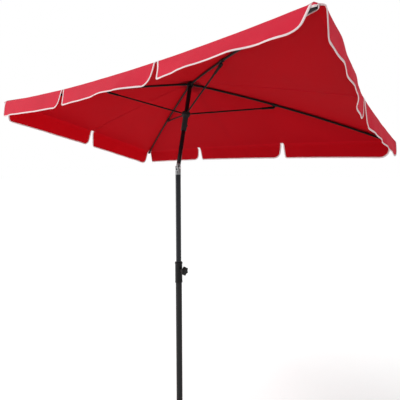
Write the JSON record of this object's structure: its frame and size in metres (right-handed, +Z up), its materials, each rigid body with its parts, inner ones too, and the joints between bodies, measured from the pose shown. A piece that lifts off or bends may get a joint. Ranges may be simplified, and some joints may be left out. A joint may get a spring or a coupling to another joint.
{
  "type": "patio umbrella with base",
  "caption": "Rectangular tilting patio umbrella: scalloped cloth canopy on four ribs and struts, two-part height-adjusting pole and a weighted round base.",
  "frame": {"origin": "centre of the base's underside, on the ground", "axes": "+Z up the pole; X along the canopy's long side; -Y is the side whose edge is tilted up at rest"},
  "size_m": [2.0662, 1.3055, 2.3312],
  "materials": {
    "cloth": "matte",
    "rib": "satin",
    "strut": "satin",
    "joint_plastic": "matte",
    "mast_paint": "satin",
    "upper_paint": "gloss",
    "lower_paint": "matte",
    "cast_alloy": "satin",
    "zinc": "satin",
    "ballast": "matte",
    "cover": "matte",
    "mat": "matte",
    "base_paint": "matte",
    "bush": "satin"
  },
  "bodies": {
    "base": {"base_mat": "mat", "base_ballast": "ballast", "base_shell": "cover", "base_flange": "base_paint", "flange_bolt_1": "zinc", "flange_bolt_2": "zinc", "flange_bolt_3": "zinc", "flange_bolt_4": "zinc", "base_tube": "base_paint", "base_sleeve": "bush", "base_clamp_boss": "base_paint"},
    "base_clamp": {"base_clamp_knob": "joint_plastic", "base_clamp_screw": "zinc"},
    "lower_pole": {"lower_pole": "lower_paint", "pole_plug": "bush", "height_collar": "joint_plastic", "collar_nut": "zinc"},
    "height_clamp": {"height_clamp_knob": "joint_plastic", "height_clamp_screw": "zinc"},
    "upper_pole": {"upper_pole": "upper_paint", "glide_bush": "bush", "tilt_fork": "cast_alloy", "tilt_pin": "zinc"},
    "tilt_button": {"tilt_button": "zinc"},
    "mast": {"mast_ferrule": "cast_alloy", "mast_tube": "mast_paint", "canopy_hub": "joint_plastic", "hub_pin_front_left": "zinc", "hub_pin_front_right": "zinc", "hub_pin_back_left": "zinc", "hub_pin_back_right": "zinc", "finial": "joint_plastic"},
    "runner": {"runner": "joint_plastic", "runner_pin_front_left": "zinc", "runner_pin_front_right": "zinc", "runner_pin_back_left": "zinc", "runner_pin_back_right": "zinc"},
    "runner_button": {"runner_button": "joint_plastic"},
    "rib_front_left": {"rib_front_left": "rib", "rib_bracket_front_left": "joint_plastic", "rib_tip_front_left": "joint_plastic", "canopy_front_left": "cloth"},
    "rib_front_right": {"rib_front_right": "rib", "rib_bracket_front_right": "joint_plastic", "rib_tip_front_right": "joint_plastic", "canopy_front_right": "cloth"},
    "rib_back_left": {"rib_back_left": "rib", "rib_bracket_back_left": "joint_plastic", "rib_tip_back_left": "joint_plastic", "canopy_back_left": "cloth"},
    "rib_back_right": {"rib_back_right": "rib", "rib_bracket_back_right": "joint_plastic", "rib_tip_back_right": "joint_plastic", "canopy_back_right": "cloth"},
    "strut_front_left": {"strut_front_left": "strut"},
    "strut_front_right": {"strut_front_right": "strut"},
    "strut_back_left": {"strut_back_left": "strut"},
    "strut_back_right": {"strut_back_right": "strut"}
  },
  "joints": [
    {"name": "pole_turn", "type": "hinge", "parent": "base", "child": "lower_pole", "pos_m": [0, 0, 0.2], "axis": [0, 0, 1], "continuous": true},
    {"name": "base_clamp_turn", "type": "hinge", "parent": "base", "child": "base_clamp", "pos_m": [0.04, 0, 0.235], "axis": [1, 0, 0], "range_deg": [0, 720]},
    {"name": "height_slide", "type": "slide", "parent": "lower_pole", "child": "upper_pole", "axis": [0, 0, 1], "range_m": [-0.45, 0.12]},
    {"name": "height_clamp_turn", "type": "hinge", "parent": "lower_pole", "child": "height_clamp", "pos_m": [0.04, 0, 1.159], "axis": [1, 0, 0], "range_deg": [0, 720]},
    {"name": "tilt", "type": "hinge", "parent": "upper_pole", "child": "mast", "pos_m": [0, 0, 1.78], "axis": [1, 0, 0], "range_deg": [-22.3, 12.7]},
    {"name": "tilt_button_press", "type": "slide", "parent": "upper_pole", "child": "tilt_button", "axis": [0, -1, 0], "range_m": [0, 0.003], "stiffness_N_per_m": 400, "springref_m": -0.002},
    {"name": "runner_slide", "type": "slide", "parent": "mast", "child": "runner", "axis": [0, -0.2198, -0.9755], "range_m": [0, 0.19], "deforming": ["canopy_front_left", "canopy_front_right", "canopy_back_left", "canopy_back_right"]},
    {"name": "runner_button_press", "type": "slide", "parent": "runner", "child": "runner_button", "axis": [0, -0.9755, 0.2198], "range_m": [0, 0.0025], "stiffness_N_per_m": 400, "springref_m": -0.002},
    {"name": "rib_fold_front_left", "type": "hinge", "parent": "mast", "child": "rib_front_left", "pos_m": [-0.01102, 0.10628, 2.28294], "axis": [0.53, -0.8273, 0.1864], "range_deg": [0, 11]},
    {"name": "rib_fold_front_right", "type": "hinge", "parent": "mast", "child": "rib_front_right", "pos_m": [0.01102, 0.10628, 2.28294], "axis": [0.53, 0.8273, -0.1864], "range_deg": [0, 11]},
    {"name": "rib_fold_back_left", "type": "hinge", "parent": "mast", "child": "rib_back_left", "pos_m": [-0.01102, 0.11972, 2.27991], "axis": [-0.53, -0.8273, 0.1864], "range_deg": [0, 11]},
    {"name": "rib_fold_back_right", "type": "hinge", "parent": "mast", "child": "rib_back_right", "pos_m": [0.01102, 0.11972, 2.27991], "axis": [-0.53, 0.8273, -0.1864], "range_deg": [0, 11]},
    {"name": "strut_fold_front_left", "type": "hinge", "parent": "rib_front_left", "child": "strut_front_left", "pos_m": [-0.43417, -0.1725, 2.24889], "axis": [0.53, -0.8273, 0.1864], "range_deg": [-22.5, 0]},
    {"name": "strut_fold_front_right", "type": "hinge", "parent": "rib_front_right", "child": "strut_front_right", "pos_m": [0.43417, -0.1725, 2.24889], "axis": [0.53, 0.8273, -0.1864], "range_deg": [-22.5, 0]},
    {"name": "strut_fold_back_left", "type": "hinge", "parent": "rib_back_left", "child": "strut_back_left", "pos_m": [-0.43417, 0.35695, 2.12958], "axis": [-0.53, -0.8273, 0.1864], "range_deg": [-22.5, 0]},
    {"name": "strut_fold_back_right", "type": "hinge", "parent": "rib_back_right", "child": "strut_back_right", "pos_m": [0.43417, 0.35695, 2.12958], "axis": [-0.53, 0.8273, -0.1864], "range_deg": [-22.5, 0]}
  ],
  "couplings": [
    {"joint": "rib_fold_front_left", "follows": "runner_slide", "rad_per_m": 1.0078},
    {"joint": "rib_fold_front_right", "follows": "runner_slide", "rad_per_m": 1.0078},
    {"joint": "rib_fold_back_left", "follows": "runner_slide", "rad_per_m": 1.0078},
    {"joint": "rib_fold_back_right", "follows": "runner_slide", "rad_per_m": 1.0078},
    {"joint": "strut_fold_front_left", "follows": "runner_slide", "rad_per_m": -2.0611},
    {"joint": "strut_fold_front_right", "follows": "runner_slide", "rad_per_m": -2.0611},
    {"joint": "strut_fold_back_left", "follows": "runner_slide", "rad_per_m": -2.0611},
    {"joint": "strut_fold_back_right", "follows": "runner_slide", "rad_per_m": -2.0611}
  ]
}
